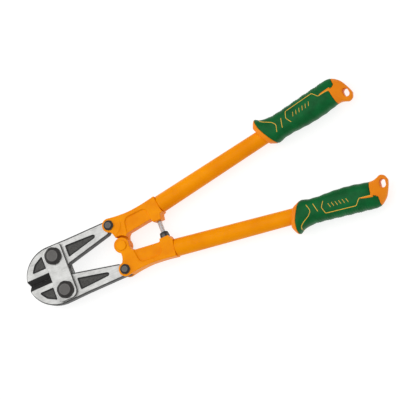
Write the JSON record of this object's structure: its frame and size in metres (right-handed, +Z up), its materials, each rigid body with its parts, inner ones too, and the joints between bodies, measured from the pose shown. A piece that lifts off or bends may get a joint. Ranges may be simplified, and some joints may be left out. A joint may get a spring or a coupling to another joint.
{
  "type": "bolt cutters",
  "caption": "Bolt cutters with compound leverage: two strapped jaws, orange forged handle ends on tapered tubes, and two-material grips with hanging slots.",
  "frame": {"origin": "centre of the footprint at the base, where the strap nuts and the grips rest", "axes": "+X along the symmetry axis from the jaws towards the grips, +Y towards the upper handle, +Z up out of the top strap"},
  "size_m": [0.4472, 0.1614, 0.029],
  "materials": {
    "ground_steel": "forged alloy steel, surface ground to satin, with darker milled pockets and black cutting edges",
    "black_steel": "black oxide steel fasteners with a soft sheen",
    "zinc_steel": "bright zinc-plated screw",
    "handle_paint": "orange powder coat, semi-gloss with slight orange peel",
    "grip_core": "moulded orange polypropylene, satin",
    "grip_cover": "green soft-touch overmoulded elastomer, matt"
  },
  "bodies": {
    "strap": {"top_strap": "ground_steel", "bottom_strap": "ground_steel", "upper_strap_bolt": "black_steel", "upper_strap_nut": "black_steel", "lower_strap_bolt": "black_steel", "lower_strap_nut": "black_steel"},
    "jaw_upper": {"upper_jaw": "ground_steel"},
    "jaw_lower": {"lower_jaw": "ground_steel"},
    "handle_upper": {"upper_handle_casting": "handle_paint", "upper_handle_tube": "handle_paint", "upper_tube_pin": "handle_paint", "upper_grip_core": "grip_core", "upper_grip_cover": "grip_cover", "upper_jaw_pin": "black_steel", "upper_jaw_pin_nut": "black_steel"},
    "handle_lower": {"lower_handle_casting": "handle_paint", "lower_handle_tube": "handle_paint", "lower_tube_pin": "handle_paint", "lower_grip_core": "grip_core", "lower_grip_cover": "grip_cover", "lower_jaw_pin": "black_steel", "lower_jaw_pin_nut": "black_steel", "centre_pivot_bolt": "handle_paint", "centre_pivot_nut": "black_steel", "stop_lock_nut": "black_steel"},
    "stop_screw": {"stop_screw": "zinc_steel"}
  },
  "joints": [
    {"name": "upper_handle_swing", "type": "hinge", "parent": "jaw_upper", "child": "handle_upper", "pos_m": [-0.10404, 0.028, 0.0145], "axis": [0, 0, 1], "range_deg": [0, 46]},
    {"name": "lower_handle_swing", "type": "hinge", "parent": "jaw_lower", "child": "handle_lower", "pos_m": [-0.10404, -0.028, 0.0145], "axis": [0, 0, 1], "range_deg": [-46, 0]},
    {"name": "upper_jaw_pivot", "type": "hinge", "parent": "strap", "child": "jaw_upper", "pos_m": [-0.18054, 0.0215, 0.0145], "axis": [0, 0, 1], "range_deg": [-6.75, 0]},
    {"name": "lower_jaw_pivot", "type": "hinge", "parent": "strap", "child": "jaw_lower", "pos_m": [-0.18054, -0.0215, 0.0145], "axis": [0, 0, 1], "range_deg": [0, 6.75]},
    {"name": "stop_screw_travel", "type": "slide", "parent": "handle_lower", "child": "stop_screw", "axis": [0, 1, 0], "range_m": [-0.006, 0]}
  ],
  "couplings": [
    {"joint": "lower_handle_swing", "follows": "upper_handle_swing", "ratio": -1},
    {"joint": "upper_jaw_pivot", "follows": "upper_handle_swing", "ratio": -0.1465},
    {"joint": "lower_jaw_pivot", "follows": "upper_handle_swing", "ratio": 0.1465}
  ]
}
